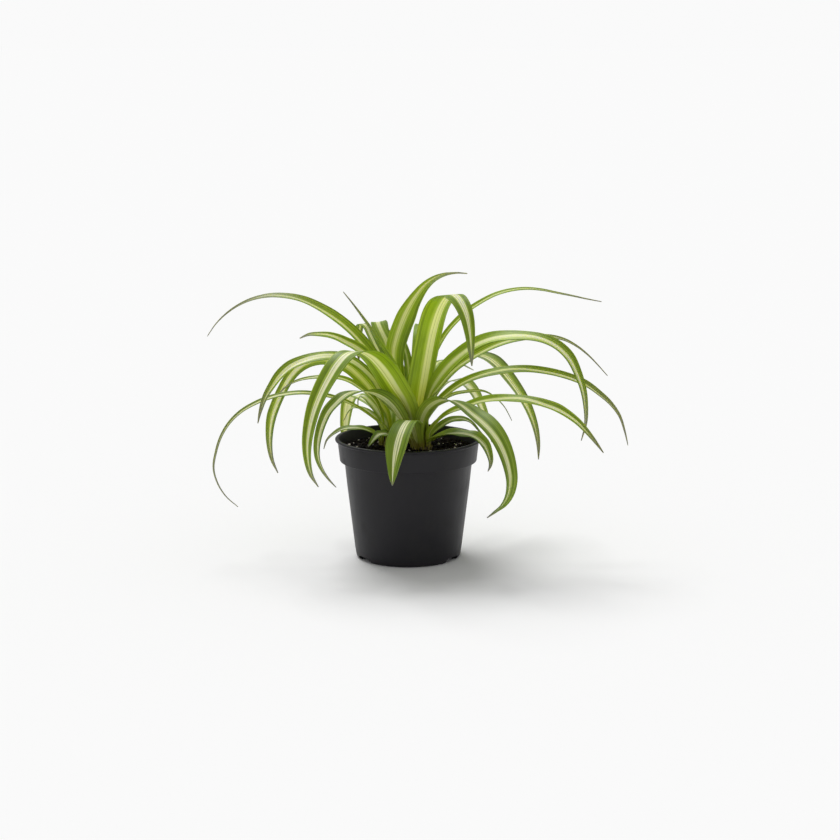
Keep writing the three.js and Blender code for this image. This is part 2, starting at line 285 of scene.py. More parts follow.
def blade_pattern() -> bpy.types.NodeTree:
    """The stripes that run along every blade, as masks.

    Returns:
        The group. Cream is the pale middle and Blush the soft band beside it. Pale and Dark are
        fine lines, Margin the outer edge, which the skins darken as painted shade, Along the share
        of the length from the foot, Dry the withered tip, Hanging the part past the crest, where
        the skins paint shade on the margin, Ribs the raised veins and Mottle a slow change of tone.
    """
    found = bpy.data.node_groups.get("blade_pattern")
    if found:
        return found
    inputs = [("Softness", 0.1), ("Blush", 0.15)]
    outputs = ["Cream", "Blush", "Pale", "Dark", "Margin"]
    outputs += ["Along", "Dry", "Hanging", "Ribs", "Mottle"]
    sketch = new_group("blade_pattern", inputs, outputs)
    ins = sketch.node("NodeGroupInput")
    outs = sketch.node("NodeGroupOutput")
    place = sketch.node("ShaderNodeUVMap", uv_map=BLADE_UV).outputs["UV"]
    seed = sketch.node("ShaderNodeAttribute", attribute_name=BLADE_SEED).outputs["Fac"]
    stripe = sketch.node("ShaderNodeAttribute", attribute_name=BLADE_STRIPE).outputs["Fac"]
    shift = sketch.node("ShaderNodeAttribute", attribute_name=BLADE_SHIFT).outputs["Fac"]
    withered = sketch.node("ShaderNodeAttribute", attribute_name=BLADE_DRY).outputs["Fac"]
    crest = sketch.node("ShaderNodeAttribute", attribute_name=BLADE_CREST).outputs["Fac"]
    split = sketch.node("ShaderNodeSeparateXYZ")
    sketch.feed(split.inputs[0], place)
    across, length = split.outputs[0], split.outputs[1]

    centred = sketch.math("MULTIPLY_ADD", across, 2.0, -1.0)
    edgeward = sketch.math("ABSOLUTE", centred)
    sway = sketch.cloud(sketch.stretched(place, (0.01, 2.4, 1.0)), 1.0, 1.0, seed)
    moved = sketch.math("MULTIPLY_ADD", sketch.math("SUBTRACT", sway, 0.5), 0.3, shift)
    outward = sketch.math("ABSOLUTE", sketch.math("SUBTRACT", centred, moved))

    threads = sketch.cloud(sketch.stretched(place, (13.0, 0.8, 1.0)), 1.0, 2.0, seed)
    frayed = sketch.math("MULTIPLY", sketch.math("SUBTRACT", threads, 0.5), 0.62)
    ragged = sketch.math("ADD", outward, frayed)
    taper = sketch.math("MULTIPLY", sketch.step(-0.2, 0.16, length), sketch.step(1.05, 0.7, length))
    half = sketch.math("MULTIPLY", stripe, taper)
    outer = sketch.math("ADD", half, ins.outputs["Softness"])
    cream = sketch.math("SUBTRACT", 1.0, sketch.step(half, outer, ragged), clamp=True)
    band = sketch.math("ADD", outer, ins.outputs["Blush"])
    blush = sketch.math("SUBTRACT", 1.0, sketch.step(outer, band, ragged), clamp=True)

    coarse = sketch.cloud(sketch.stretched(place, (17.0, 0.6, 1.0)), 1.0, 1.0, seed)
    fine = sketch.cloud(sketch.stretched(place, (46.0, 0.5, 1.0)), 1.0, 1.0, seed)
    fine_pale = sketch.step(0.58, 0.7, fine)
    pale = sketch.math("MULTIPLY_ADD", fine_pale, 0.4, sketch.step(0.56, 0.66, coarse))
    fine_dark = sketch.step(0.45, 0.33, fine)
    dark = sketch.math("MULTIPLY_ADD", fine_dark, 0.5, sketch.step(0.46, 0.36, coarse))
    # The blade's outer edge, which the skins darken as painted shade.
    margin = sketch.step(0.84, 1.0, edgeward)
    ribs = sketch.math("SINE", sketch.math("MULTIPLY", across, 88.0))
    mottle = sketch.cloud(sketch.stretched(place, (3.0, 9.0, 1.0)), 1.0, 3.0, seed)
    dry = sketch.step(sketch.math("SUBTRACT", 1.0, withered), 1.0, length)
    # The part past the crest, which the skins darken as painted shade.
    before = sketch.math("SUBTRACT", crest, 0.1)
    past = sketch.math("ADD", crest, 0.12)
    hanging = sketch.step(before, past, length)

    results = (cream, blush, pale, dark, margin, length, dry, hanging, ribs, mottle)
    for label, value in zip(outputs, results):
        sketch.feed(outs.inputs[label], value)
    return sketch.tree


def fine_grain() -> bpy.types.NodeTree:
    """A fine random relief on Object coordinates, shared by the moulded and loose pieces.

    Returns:
        The group. Fac is the relief, and Normal is its bump.
    """
    found = bpy.data.node_groups.get("fine_grain")
    if found:
        return found
    sketch = new_group("fine_grain", [("Scale", 900.0), ("Depth", 0.00005)], ["Fac", "Normal"])
    ins = sketch.node("NodeGroupInput")
    outs = sketch.node("NodeGroupOutput")
    relief = sketch.node("ShaderNodeTexNoise")
    sketch.feed(relief.inputs["Vector"], sketch.object_place())
    sketch.feed(relief.inputs["Scale"], ins.outputs["Scale"])
    relief.inputs["Detail"].default_value = 4.0
    raised = sketch.node("ShaderNodeBump")
    sketch.feed(raised.inputs["Height"], relief.outputs["Fac"])
    sketch.feed(raised.inputs["Distance"], ins.outputs["Depth"])
    sketch.feed(outs.inputs["Fac"], relief.outputs["Fac"])
    sketch.feed(outs.inputs["Normal"], raised.outputs["Normal"])
    return sketch.tree


# ------------------------------------------------------------------ finishes


def fresh_material(name: str) -> tuple[bpy.types.Material, Sketch, bpy.types.Node]:
    """Starts a material with one Principled shader.

    Args:
        name: The material's name.

    Returns:
        The material, a sketch on its tree and its shader.
    """
    material = bpy.data.materials.new(name)
    material.use_nodes = True
    sketch = Sketch(material.node_tree)
    shader = material.node_tree.nodes["Principled BSDF"]
    return material, sketch, shader


@dataclass(frozen=True)
class MouldedPlastic:
    """Black injection-moulded plastic with a satin skin and a little dust.

    Attributes:
        name: The material's name.
        body: The plastic's colour.
        scuffed: Its colour where it is rubbed or dusty.
        gloss: The roughness of the clean skin.
    """

    name: str = "moulded_plastic"
    body: Colour = colour(31, 30, 34)
    scuffed: Colour = colour(46, 45, 44)
    gloss: float = 0.44

    def build(self) -> bpy.types.Material:
        """The material, made once."""
        material, sketch, shader = fresh_material(self.name)
        place = sketch.object_place()
        drawn = sketch.stretched(place, (1.0, 1.0, 0.12))
        streaks = sketch.cloud(drawn, 260.0, 4.0)
        dust = sketch.cloud(place, 55.0, 5.0)
        worn = sketch.math("MULTIPLY", sketch.step(0.5, 0.75, dust), 0.35)
        sketch.feed(shader.inputs["Base Color"], sketch.blend(worn, self.body, self.scuffed))
        rough = sketch.math("MULTIPLY_ADD", streaks, 0.16, self.gloss - 0.08)
        rough = sketch.math("MULTIPLY_ADD", worn, 0.4, rough)
        sketch.feed(shader.inputs["Roughness"], rough)
        shader.inputs["Specular IOR Level"].default_value = 0.26
        skin = sketch.node("ShaderNodeGroup", node_tree=fine_grain())
        skin.inputs["Scale"].default_value = 2200.0
        skin.inputs["Depth"].default_value = 0.00002
        sketch.feed(shader.inputs["Normal"], skin.outputs["Normal"])
        return material


@dataclass(frozen=True)
class Earth:
    """Damp potting soil, from near black to brown.

    Attributes:
        name: The material's name.
        wet: The colour in the hollows.
        dry: The colour on the high crumbs.
    """

    name: str = "potting_soil"
    wet: Colour = colour(12, 9, 7)
    dry: Colour = colour(58, 42, 30)

    def build(self) -> bpy.types.Material:
        """The material, made once."""
        material, sketch, shader = fresh_material(self.name)
        place = sketch.object_place()
        lumps = sketch.cloud(place, 420.0, 6.0)
        patches = sketch.cloud(place, 70.0, 3.0)
        share = sketch.math("MULTIPLY", sketch.step(0.42, 0.75, lumps), patches)
        sketch.feed(shader.inputs["Base Color"], sketch.blend(share, self.wet, self.dry))
        rough = sketch.math("MULTIPLY_ADD", lumps, 0.25, 0.72)
        sketch.feed(shader.inputs["Roughness"], rough)
        shader.inputs["Specular IOR Level"].default_value = 0.06
        grit = sketch.node("ShaderNodeGroup", node_tree=fine_grain())
        grit.inputs["Scale"].default_value = 900.0
        grit.inputs["Depth"].default_value = 0.0006
        sketch.feed(shader.inputs["Normal"], grit.outputs["Normal"])
        return material


@dataclass(frozen=True)
class Perlite:
    """White expanded grains, stained a little by the soil.

    Attributes:
        name: The material's name.
        clean: The grain's colour.
        stained: Its colour in the pores.
    """

    name: str = "perlite"
    clean: Colour = colour(226, 218, 208)
    stained: Colour = colour(140, 120, 104)

    def build(self) -> bpy.types.Material:
        """The material, made once."""
        material, sketch, shader = fresh_material(self.name)
        place = sketch.object_place()
        pores = sketch.cloud(place, 1400.0, 4.0)
        share = sketch.step(0.5, 0.68, pores)
        sketch.feed(shader.inputs["Base Color"], sketch.blend(share, self.clean, self.stained))
        shader.inputs["Roughness"].default_value = 0.9
        sketch.feed(shader.inputs["Normal"], sketch.bump(pores, 0.6, 0.0003))
        return material


@dataclass(frozen=True)
class LeafSkin:
    """A striped leaf skin that lets some light through.

    Attributes:
        name: The material's name.
        green: The margin's colour.
        deep: The margin's darker lines and mottling, and its painted shade along the edges.
        shade: The margin's darker colour where the blade hangs past its crest, as painted shade.
        fresh: The soft band beside the stripe and the pale lines in the margin.
        cream: The stripe's colour.
        vein: The fine lines in the stripe.
        foot: The leaf's paler foot, partly its own colour and partly painted light shining through.
        root: The browner colour where it goes into the soil.
        tip: The colour at its tip.
        softness: How gradually the stripe ends.
        blush: How wide the soft band is.
        gloss: The skin's roughness.
        glow: How much light goes through.
    """

    name: str
    green: Colour = colour(136, 166, 26)
    deep: Colour = colour(88, 114, 10)
    shade: Colour = colour(98, 124, 22)
    fresh: Colour = colour(186, 206, 92)
    cream: Colour = colour(253, 255, 202)
    vein: Colour = colour(196, 208, 104)
    foot: Colour = colour(206, 222, 84)
    root: Colour = colour(150, 122, 62)
    tip: Colour = colour(118, 116, 112)
    softness: float = 0.1
    blush: float = 0.16
    gloss: float = 0.42
    glow: float = 0.65

    def build(self) -> bpy.types.Material:
        """The material, made once."""
        material, sketch, shader = fresh_material(self.name)
        masks = sketch.node("ShaderNodeGroup", node_tree=blade_pattern())
        masks.inputs["Softness"].default_value = self.softness
        masks.inputs["Blush"].default_value = self.blush
        out = masks.outputs
        mottled = sketch.math("MULTIPLY", sketch.step(0.35, 0.7, out["Mottle"]), 0.5)
        body = sketch.blend(mottled, self.green, self.deep)
        # Painted shade: the margin darkens where the blade hangs past its crest.
        body = sketch.blend(sketch.math("MULTIPLY", out["Hanging"], 0.8), body, self.shade)
        body = sketch.blend(sketch.math("MULTIPLY", out["Dark"], 0.6), body, self.deep)
        body = sketch.blend(sketch.math("MULTIPLY", out["Pale"], 0.5), body, self.fresh)
        # Painted shade: the blade's outer edges darken.
        body = sketch.blend(sketch.math("MULTIPLY", out["Margin"], 0.35), body, self.deep)
        body = sketch.blend(sketch.math("MULTIPLY", out["Blush"], 0.6), body, self.fresh)
        rising = sketch.math("MULTIPLY_ADD", out["Hanging"], -0.3, 0.3)
        stripe = sketch.blend(rising, self.cream, self.fresh)
        pale = sketch.blend(sketch.math("MULTIPLY", out["Dark"], 0.7), stripe, self.vein)
        skin = sketch.blend(out["Cream"], body, pale)
        # Partly painted light: the foot is brightened for light shining through the base, on top of its own paler
        # colour.
        at_foot = sketch.math("SUBTRACT", 1.0, sketch.step(0.02, 0.34, out["Along"]))
        skin = sketch.blend(sketch.math("MULTIPLY", at_foot, 0.5), skin, self.foot)
        skin = sketch.blend(sketch.math("MULTIPLY", out["Dark"], 0.3), skin, self.deep)
        at_root = sketch.math("SUBTRACT", 1.0, sketch.step(0.0, 0.07, out["Along"]))
        skin = sketch.blend(sketch.math("MULTIPLY", at_root, 0.65), skin, self.root)
        skin = sketch.blend(sketch.math("MULTIPLY", out["Dry"], 0.92), skin, self.tip)
        sketch.feed(shader.inputs["Base Color"], skin)
        rough = sketch.math("MULTIPLY_ADD", out["Mottle"], 0.18, self.gloss - 0.07)
        sketch.feed(shader.inputs["Roughness"], rough)
        shader.inputs["Specular IOR Level"].default_value = 0.3
        shader.inputs["Subsurface Weight"].default_value = self.glow
        shader.inputs["Subsurface Radius"].default_value = (1.0, 1.0, 0.3)
        shader.inputs["Subsurface Scale"].default_value = 0.0025
        relief = sketch.math("MULTIPLY_ADD", out["Ribs"], 0.5, out["Mottle"])
        sketch.feed(shader.inputs["Normal"], sketch.bump(relief, 0.35, 0.00012))
        return material


@dataclass(frozen=True)
class Fibre:
    """The dry, papery fibre of old leaf bases.

    Attributes:
        name: The material's name.
        pale: The colour on the ridges.
        brown: The colour between them.
    """

    name: str = "crown_fibre"
    pale: Colour = colour(120, 108, 58)
    brown: Colour = colour(50, 38, 22)

    def build(self) -> bpy.types.Material:
        """The material, made once."""
        material, sketch, shader = fresh_material(self.name)
        place = sketch.object_place()
        strands = sketch.cloud(sketch.stretched(place, (1.0, 1.0, 0.18)), 1100.0, 3.0)
        share = sketch.step(0.4, 0.62, strands)
        sketch.feed(shader.inputs["Base Color"], sketch.blend(share, self.pale, self.brown))
        shader.inputs["Roughness"].default_value = 0.8
        sketch.feed(shader.inputs["Normal"], sketch.bump(strands, 0.6, 0.0004))
        return material


@dataclass(frozen=True)
class StudioPaper:
    """The seamless white paper that the pot stands on.

    Attributes:
        name: The material's name.
        white: Its colour.
    """

    name: str = "studio_paper"
    white: Colour = colour(250, 250, 250)

    def build(self) -> bpy.types.Material:
        """The material, made once."""
        material, sketch, shader = fresh_material(self.name)
        tooth = sketch.cloud(sketch.object_place(), 400.0, 2.0)
        tone = sketch.blend(sketch.math("MULTIPLY", tooth, 0.04), self.white, (0.8, 0.8, 0.8, 1.0))
        sketch.feed(shader.inputs["Base Color"], tone)
        shader.inputs["Roughness"].default_value = 1.0
        shader.inputs["Specular IOR Level"].default_value = 0.0
        return material


# ------------------------------------------------------------------ making pieces


def finish_piece(
    name: str, mesh: bmesh.types.BMesh, material: bpy.types.Material, smooth_under: float = 40.0
) -> bpy.types.Object:
    """Turns a bmesh into an object in the scene.

    Args:
        name: The piece's name.
        mesh: Its shape, which is freed.
        material: Its finish.
        smooth_under: Edges sharper than this angle, in degrees, stay sharp.

    Returns:
        The object.
    """
    for face in mesh.faces:
        face.smooth = True
    data = bpy.data.meshes.new(name)
    mesh.to_mesh(data)
    mesh.free()
    data.materials.append(material)
    if smooth_under < 180.0:
        data.set_sharp_from_angle(angle=math.radians(smooth_under))
    piece = bpy.data.objects.new(name, data)
    bpy.context.scene.collection.objects.link(piece)
    return piece


def settle(piece: bpy.types.Object, slot: str, *nodes: str) -> bpy.types.Object:
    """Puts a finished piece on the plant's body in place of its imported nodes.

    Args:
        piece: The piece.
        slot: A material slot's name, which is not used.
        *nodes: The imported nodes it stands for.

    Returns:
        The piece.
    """
    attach(piece, BODY)
    if nodes:
        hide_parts(*nodes)
    LOG.info("made %s with %d faces", piece.name, len(piece.data.polygons))
    return piece


def turned_shell(profile: Iterable[tuple[float, float]], steps: int) -> bmesh.types.BMesh:
    """Turns a profile of (radius, height) points round the pot's axis.

    Args:
        profile: The points, in metres. An end on the axis closes the shell there.
        steps: How many steps the turn takes.

    Returns:
        The turned shape, closed where the profile meets the axis, with its faces outwards.
    """
    mesh = bmesh.new()
    points = [mesh.verts.new((radius, 0.0, height)) for radius, height in profile]
    edges = [mesh.edges.new(pair) for pair in zip(points, points[1:])]
    bmesh.ops.spin(
        mesh,
        geom=points + edges,
        cent=(0, 0, 0),
        axis=(0, 0, 1),
        angle=math.tau,
        steps=steps,
        use_merge=True,
        use_duplicate=False,
    )
    bmesh.ops.remove_doubles(mesh, verts=mesh.verts, dist=1e-6)
    bmesh.ops.recalc_face_normals(mesh, faces=mesh.faces)
    return mesh


@dataclass
class NurseryPot:
    """The tapered black pot with its deep rim band, rolled lip and three drain slots.

    Attributes:
        finish: The plastic.
        height: The rim's height.
        lip: The lip's outer radius.
        lip_height: How tall the rolled lip is.
        band_top: The band's outer radius below the lip.
        band_low: The band's outer radius at its lower edge.
        band_depth: How far the band's lower edge is below the rim.
        wall_top: The wall's outer radius just below the band.
        wall_low: The wall's outer radius at its foot.
        wall: The wall's thickness.
        floor: The floor's thickness.
        slot_angles: Where the drain slots are, in degrees from +X.
        slot_size: The slots' width and height.
        turns: How many steps the turned shape has.
    """

    finish: bpy.types.Material
    height: float = 99 * MM
    lip: float = 60 * MM
    lip_height: float = 2.2 * MM
    band_top: float = 58 * MM
    band_low: float = 56.2 * MM
    band_depth: float = 18.5 * MM
    wall_top: float = 52.6 * MM
    wall_low: float = 43.2 * MM
    wall: float = 1.6 * MM
    floor: float = 1.8 * MM
    slot_angles: tuple[float, ...] = (-32.0, 212.0, 90.0)
    slot_size: tuple[float, float] = (17 * MM, 3.6 * MM)
    turns: int = 160

    @property
    def band_edge(self) -> float:
        """The height of the band's lower edge."""
        return self.height - self.band_depth

    def profile(self) -> list[tuple[float, float]]:
        """The pot's section, from the middle of its underside round the lip to its inner floor."""
        top, edge, skin = self.height, self.band_edge, self.wall
        lip_low = top - self.lip_height
        corner = 2.6 * MM
        points = [(0.0, 0.0), (self.wall_low - corner - 3 * MM, 0.0)]
        points += self.arc((self.wall_low - corner, corner), corner, -90.0, -4.0, 6)
        points += [(self.wall_low + 0.9 * MM, 0.1 * edge), (self.wall_top - 2.3 * MM, 0.74 * edge)]
        points += [(self.wall_top - 0.25 * MM, edge - 1.2 * MM), (self.wall_top, edge - 0.25 * MM)]
        points += self.arc((self.band_low - 0.5 * MM, edge + 0.5 * MM), 0.5 * MM, -90.0, 0.0, 4)
        points += [(self.band_top - 0.05 * MM, lip_low - 0.5 * MM)]
        roll = self.lip_height / 2
        points += self.arc((self.lip - roll, lip_low + roll), roll, -75.0, 100.0, 9)
        points += [(self.band_top - skin + 0.7 * MM, top - 0.15 * MM)]
        points += [(self.band_top - skin, top - 1.3 * MM), (self.band_low - skin, edge + 1.8 * MM)]
        points += [(self.wall_top - skin + 0.3 * MM, edge + 0.1 * MM)]
        points += [(self.wall_top - skin, edge - 0.8 * MM), (self.wall_low - skin, 3.6 * MM)]
        points += [(self.wall_low - skin - 1.5 * MM, self.floor), (0.0, self.floor)]
        return points

    @staticmethod
    def arc(
        centre: tuple[float, float], radius: float, start: float, end: float, steps: int
    ) -> list[tuple[float, float]]:
        """Points on a round corner.

        Args:
            centre: The corner's centre, as radius and height.
            radius: The corner's radius.
            start: The first angle, in degrees.
            end: The last angle.
            steps: How many steps there are between them.

        Returns:
            The points, as radius and height.
        """
        angles = [math.radians(start + (end - start) * i / steps) for i in range(steps + 1)]
        return [(centre[0] + radius * math.cos(a), centre[1] + radius * math.sin(a)) for a in angles]

    def slot_cutter(self, angle: float) -> bpy.types.Object:
        """A rounded block in the place of one drain slot.

        Args:
            angle: Where it is round the pot, in degrees.

        Returns:
            The block.
        """
        wide, tall = self.slot_size
        inner = 35 * MM
        outer = self.wall_low + 6 * MM
        mesh = bmesh.new()
        bmesh.ops.create_cube(mesh, size=1.0)
        bmesh.ops.scale(mesh, vec=(outer - inner, wide, tall * 2), verts=mesh.verts)
        upper = [e for e in mesh.edges if all(v.co.z > 0 for v in e.verts) and abs(e.verts[0].co.x - e.verts[1].co.x) > 1 * MM]
        bmesh.ops.bevel(
            mesh, geom=upper, offset=2 * MM, offset_type="OFFSET", segments=5, profile=0.5, affect="EDGES", material=-1
        )
        bmesh.ops.translate(mesh, vec=((inner + outer) / 2, 0, 0), verts=mesh.verts)
        turn = Matrix.Rotation(math.radians(angle), 3, "Z")
        bmesh.ops.rotate(mesh, cent=(0, 0, 0), matrix=turn, verts=mesh.verts)
        data = bpy.data.meshes.new("slot_cutter")
        mesh.to_mesh(data)
        mesh.free()
        cutter = bpy.data.objects.new("slot_cutter", data)
        bpy.context.scene.collection.objects.link(cutter)
        return cutter

    def build(self) -> bpy.types.Object:
        """The pot, with its slots cut."""
        pot = finish_piece("nursery_pot", turned_shell(self.profile(), self.turns), self.finish, 180.0)
        cutters = [self.slot_cutter(angle) for angle in self.slot_angles]
        for cutter in cutters:
            cut = pot.modifiers.new("slot", "BOOLEAN")
            cut.object = cutter
            cut.operation = "DIFFERENCE"
            cut.solver = "EXACT"
        bpy.context.view_layer.update()
        shaped = bpy.data.meshes.new_from_object(pot.evaluated_get(bpy.context.evaluated_depsgraph_get()))
        pot.modifiers.clear()
        pot.data = shaped
        pot.data.set_sharp_from_angle(angle=math.radians(50))
        for cutter in cutters:
            bpy.data.objects.remove(cutter)
        return settle(pot, "pot", "pot")


@dataclass
class SoilBed:
    """The crumbly soil, its loose crumbs and its perlite grains.

    Attributes:
        finish: The soil.
        grain_finish: The perlite.
        clear_spots: Places (x, y, radius) that crumbs keep clear of.
        seed: What the scatter starts from.
        crumbs: How many loose crumbs there are.
        grains: How many perlite grains there are.
    """

    finish: bpy.types.Material
    grain_finish: bpy.types.Material
    clear_spots: list[tuple[float, float, float]] = field(default_factory=list)
    seed: int = 11
    crumbs: int = 1100
    grains: int = 120

    def __post_init__(self) -> None:
        """Reads the bed's size from the packed soil."""
        low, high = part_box("soil")
        self.top = high.z
        self.bottom = low.z
        self.radius = (high.x - low.x) / 2
        self.rng = random.Random(self.seed)

    def surface(self, x: float, y: float) -> float:
        """The height of the soil at a place."""
        coarse = noise.noise(Vector((x * 60, y * 60, 0.3)))
        fine = noise.noise(Vector((x * 240, y * 240, 4.1)))
        grit = noise.noise(Vector((x * 800, y * 800, 7.7)))
        out = math.hypot(x, y) / self.radius
        sag = 0.9 * MM * ease(0.6, 1.0, out)
        return self.top + 0.6 * MM - sag + (1.1 * coarse + 0.7 * fine + 0.4 * grit) * MM

    def bed(self) -> bpy.types.Object:
        """The soil itself, from the pot's floor to its uneven top."""
        low_radius = 41 * MM
        rings = 46
        top = [(self.radius * i / rings, self.top) for i in range(rings + 1)]
        sides = [(50.4 * MM, 79 * MM), (low_radius, 4.5 * MM), (low_radius - 2 * MM, self.bottom), (0.0, self.bottom)]
        mesh = turned_shell(top + sides, 150)
        for vert in mesh.verts:
            if vert.co.z > self.top - 0.1 * MM:
                vert.co.z = self.surface(vert.co.x, vert.co.y)
        return settle(finish_piece("soil_bed", mesh, self.finish, 180.0), "soil", "soil")

    def scatter(self, name: str, count: int, sizes: tuple[float, float], flatness: float, finish: bpy.types.Material, rounds: int) -> bpy.types.Object:
        """Scatters small lumps on the soil, as one piece.

        Args:
            name: The piece's name.
            count: How many lumps there are.
            sizes: The smallest and largest radius.
            flatness: Their height as a share of their width.
            finish: Their material.
            rounds: How finely each is divided.

        Returns:
            The piece.
        """
        whole = bmesh.new()
        for _ in range(count):
            radius = sizes[0] + (sizes[1] - sizes[0]) * self.rng.random() ** 2.2
            out = (self.radius - 1.5 * MM - radius) * math.sqrt(self.rng.random())
            angle = self.rng.uniform(0, math.tau)
            x, y = out * math.cos(angle), out * math.sin(angle)
            offset = Vector((self.rng.uniform(-9, 9), self.rng.uniform(-9, 9), self.rng.uniform(-9, 9)))
            stretch = Vector((self.rng.uniform(0.75, 1.3), self.rng.uniform(0.75, 1.3), flatness))
            turn = Matrix.Rotation(self.rng.uniform(0, math.tau), 3, "Z")
            if any(math.hypot(x - cx, y - cy) < keep for cx, cy, keep in self.clear_spots):
                continue
            made = bmesh.ops.create_icosphere(whole, subdivisions=rounds, radius=radius)["verts"]
            for vert in made:
                rough = 1.0 + 0.42 * noise.noise(vert.co / radius * 1.3 + offset)
                vert.co = turn @ (vert.co * rough * stretch)
            lift = Vector((x, y, self.surface(x, y) + radius * flatness * 0.35))
            bmesh.ops.translate(whole, vec=lift, verts=made)
        return settle(finish_piece(name, whole, finish, 60.0), "soil")

    def build(self) -> list[bpy.types.Object]:
        """The bed, its crumbs and its grains."""
        return [
            self.bed(),
            self.scatter("soil_crumbs", self.crumbs, (0.4 * MM, 1.9 * MM), 0.7, self.finish, 1),
            self.scatter("perlite_grains", self.grains, (0.4 * MM, 1.3 * MM), 0.8, self.grain_finish, 2),
        ]


@dataclass
class CrownKnot:
    """The knot of old leaf bases that one group of leaves grows from.

    Attributes:
        node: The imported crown's name.
        finish: The fibre.
        seed: What its irregularity starts from.
        sheaths: How many old bases ring it.
    """

    node: str
    finish: bpy.types.Material
    seed: int
    sheaths: int = 11

    def build(self) -> bpy.types.Object:
        """A low mound ringed by short old bases."""
        low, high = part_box(self.node)
        middle = (low + high) / 2
        radius = (high.x - low.x) / 2
        rng = random.Random(self.seed)
        mesh = bmesh.new()
        made = bmesh.ops.create_icosphere(mesh, subdivisions=4, radius=1.0)["verts"]
        for vert in made:
            angle = math.atan2(vert.co.y, vert.co.x)
            ridge = 1.0 + 0.06 * math.sin(angle * 9 + self.seed) + 0.09 * noise.noise(vert.co * 2.4)
            vert.co = Vector((vert.co.x * radius * 0.8 * ridge, vert.co.y * radius * 0.8 * ridge, vert.co.z * 3.4 * MM * ridge))
        bmesh.ops.translate(mesh, vec=(middle.x, middle.y, low.z - 0.6 * MM), verts=made)
        for index in range(self.sheaths):
            self.sheath(mesh, middle, radius, low.z, math.tau * (index + rng.random() * 0.5) / self.sheaths, rng)
        return settle(finish_piece(self.node + "_knot", mesh, self.finish, 180.0), "crown", self.node)

    def sheath(
        self, mesh: bmesh.types.BMesh, middle: Vector, radius: float, base: float, angle: float, rng: random.Random
    ) -> None:
        """Adds one short dry base, a tapered scale that leans outwards.

        Args:
            mesh: The knot's mesh.
            middle: The crown's middle.
            radius: The crown's radius.
            base: The height that it rises from.
            angle: Where it is round the crown, in radians.
            rng: The source of its variety.
        """
        tall = rng.uniform(1.2, 3.0) * MM
        wide = rng.uniform(1.8, 2.8) * MM
        made = bmesh.ops.create_cone(
            mesh, cap_ends=True, segments=10, radius1=wide, radius2=wide * 0.35, depth=tall + 2 * MM
        )["verts"]
        bmesh.ops.scale(mesh, vec=(0.45, 1.0, 1.0), verts=made)
        tilt = Matrix.Rotation(math.radians(rng.uniform(8, 26)), 3, "Y")
        bmesh.ops.rotate(mesh, cent=(0, 0, 0), matrix=tilt, verts=made)
        bmesh.ops.translate(mesh, vec=(radius * 0.78, 0, base + tall / 2 - 0.8 * MM), verts=made)
        bmesh.ops.rotate(mesh, cent=(0, 0, 0), matrix=Matrix.Rotation(angle, 3, "Z"), verts=made)
        bmesh.ops.translate(mesh, vec=(middle.x, middle.y, 0), verts=made)


# ------------------------------------------------------------------ leaves


@dataclass
class BladeRun:
    """One packed leaf read back as smooth runs from its foot to its tip.

    Attributes:
        middles: The channel's bottom.
        halves: Half the blade, from its middle to its right edge, without the fold.
        lifts: How the edges rise above the channel.
        length: The blade's length.
    """

    middles: list[Vector]
    halves: list[Vector]
    lifts: list[Vector]
    length: float

    @property
    def belly(self) -> float:
        """Half the blade's greatest width."""
        return max(half.length for half in self.halves)

    @property
    def crest(self) -> float:
        """The share of its length at which the blade is highest and turns over."""
        top = max(range(len(self.middles)), key=lambda index: self.middles[index].z)
        return top / (len(self.middles) - 1)

    @classmethod
    def read(cls, leaf: bpy.types.Object, crown_top: float, crowns: Sequence[Vector]) -> "BladeRun":
        """Reads a packed leaf, whose sections are rings of four corners.

        Args:
            leaf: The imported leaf.
            crown_top: The height of the crowns' tops.
            crowns: The crowns' middles.

        Returns:
            The runs.
        """
        mesh = bmesh.new()
        mesh.from_mesh(leaf.data)
        bmesh.ops.remove_doubles(mesh, verts=mesh.verts, dist=1e-6)
        mesh.normal_update()

        def at_foot(face: bmesh.types.BMFace) -> bool:
            """Whether a face closes the leaf's foot."""
            place = face.calc_center_median()
            near = min((place.xy - crown.xy).length for crown in crowns) < 14 * MM
            return face.normal.z < -0.7 and near and abs(place.z - crown_top - 0.5 * MM) < 1.4 * MM

        ring = {vert for face in mesh.faces if at_foot(face) for vert in face.verts}
        seen = set(ring)
        ring = {vert for vert in ring if any(e.other_vert(vert) not in ring for e in vert.link_edges)}
        rings = []
        while len(ring) == 4:
            rings.append([vert.co.copy() for vert in ring])
            ring = {e.other_vert(v) for v in ring for e in v.link_edges} - seen
            seen |= ring
        mesh.free()
        if len(rings) < 5:
            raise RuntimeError(f"{leaf.name} has no row of four-cornered sections")
        return cls.from_rings(rings)

    @classmethod
    def from_rings(cls, rings: list[list[Vector]]) -> "BladeRun":
        """Sorts each ring's corners into edges and middle.

        Args:
            rings: The rings, from foot to tip.

        Returns:
            The runs.
        """
        middles: list[Vector] = []
        halves: list[Vector] = []
        lifts: list[Vector] = []
        for ring in rings:
            pairs = [(a, b) for i, a in enumerate(ring) for b in ring[i + 1 :]]
            left, right = max(pairs, key=lambda pair: (pair[0] - pair[1]).length)
            middle = sum((corner for corner in ring if corner not in (left, right)), Vector()) / 2
            half = (right - left) / 2
            if halves and half.dot(halves[-1]) < 0:
                half = -half
            middles.append(middle)
            halves.append(half)
            lifts.append((left + right) / 2 - middle)
        length = sum((b - a).length for a, b in zip(middles, middles[1:]))
        return cls(middles, halves, lifts, length)

    def heading(self, share: float) -> Vector:
        """The direction the blade runs in at a share of its length."""
        step = 0.01
        return (along(self.middles, share + step) - along(self.middles, share - step)).normalized()


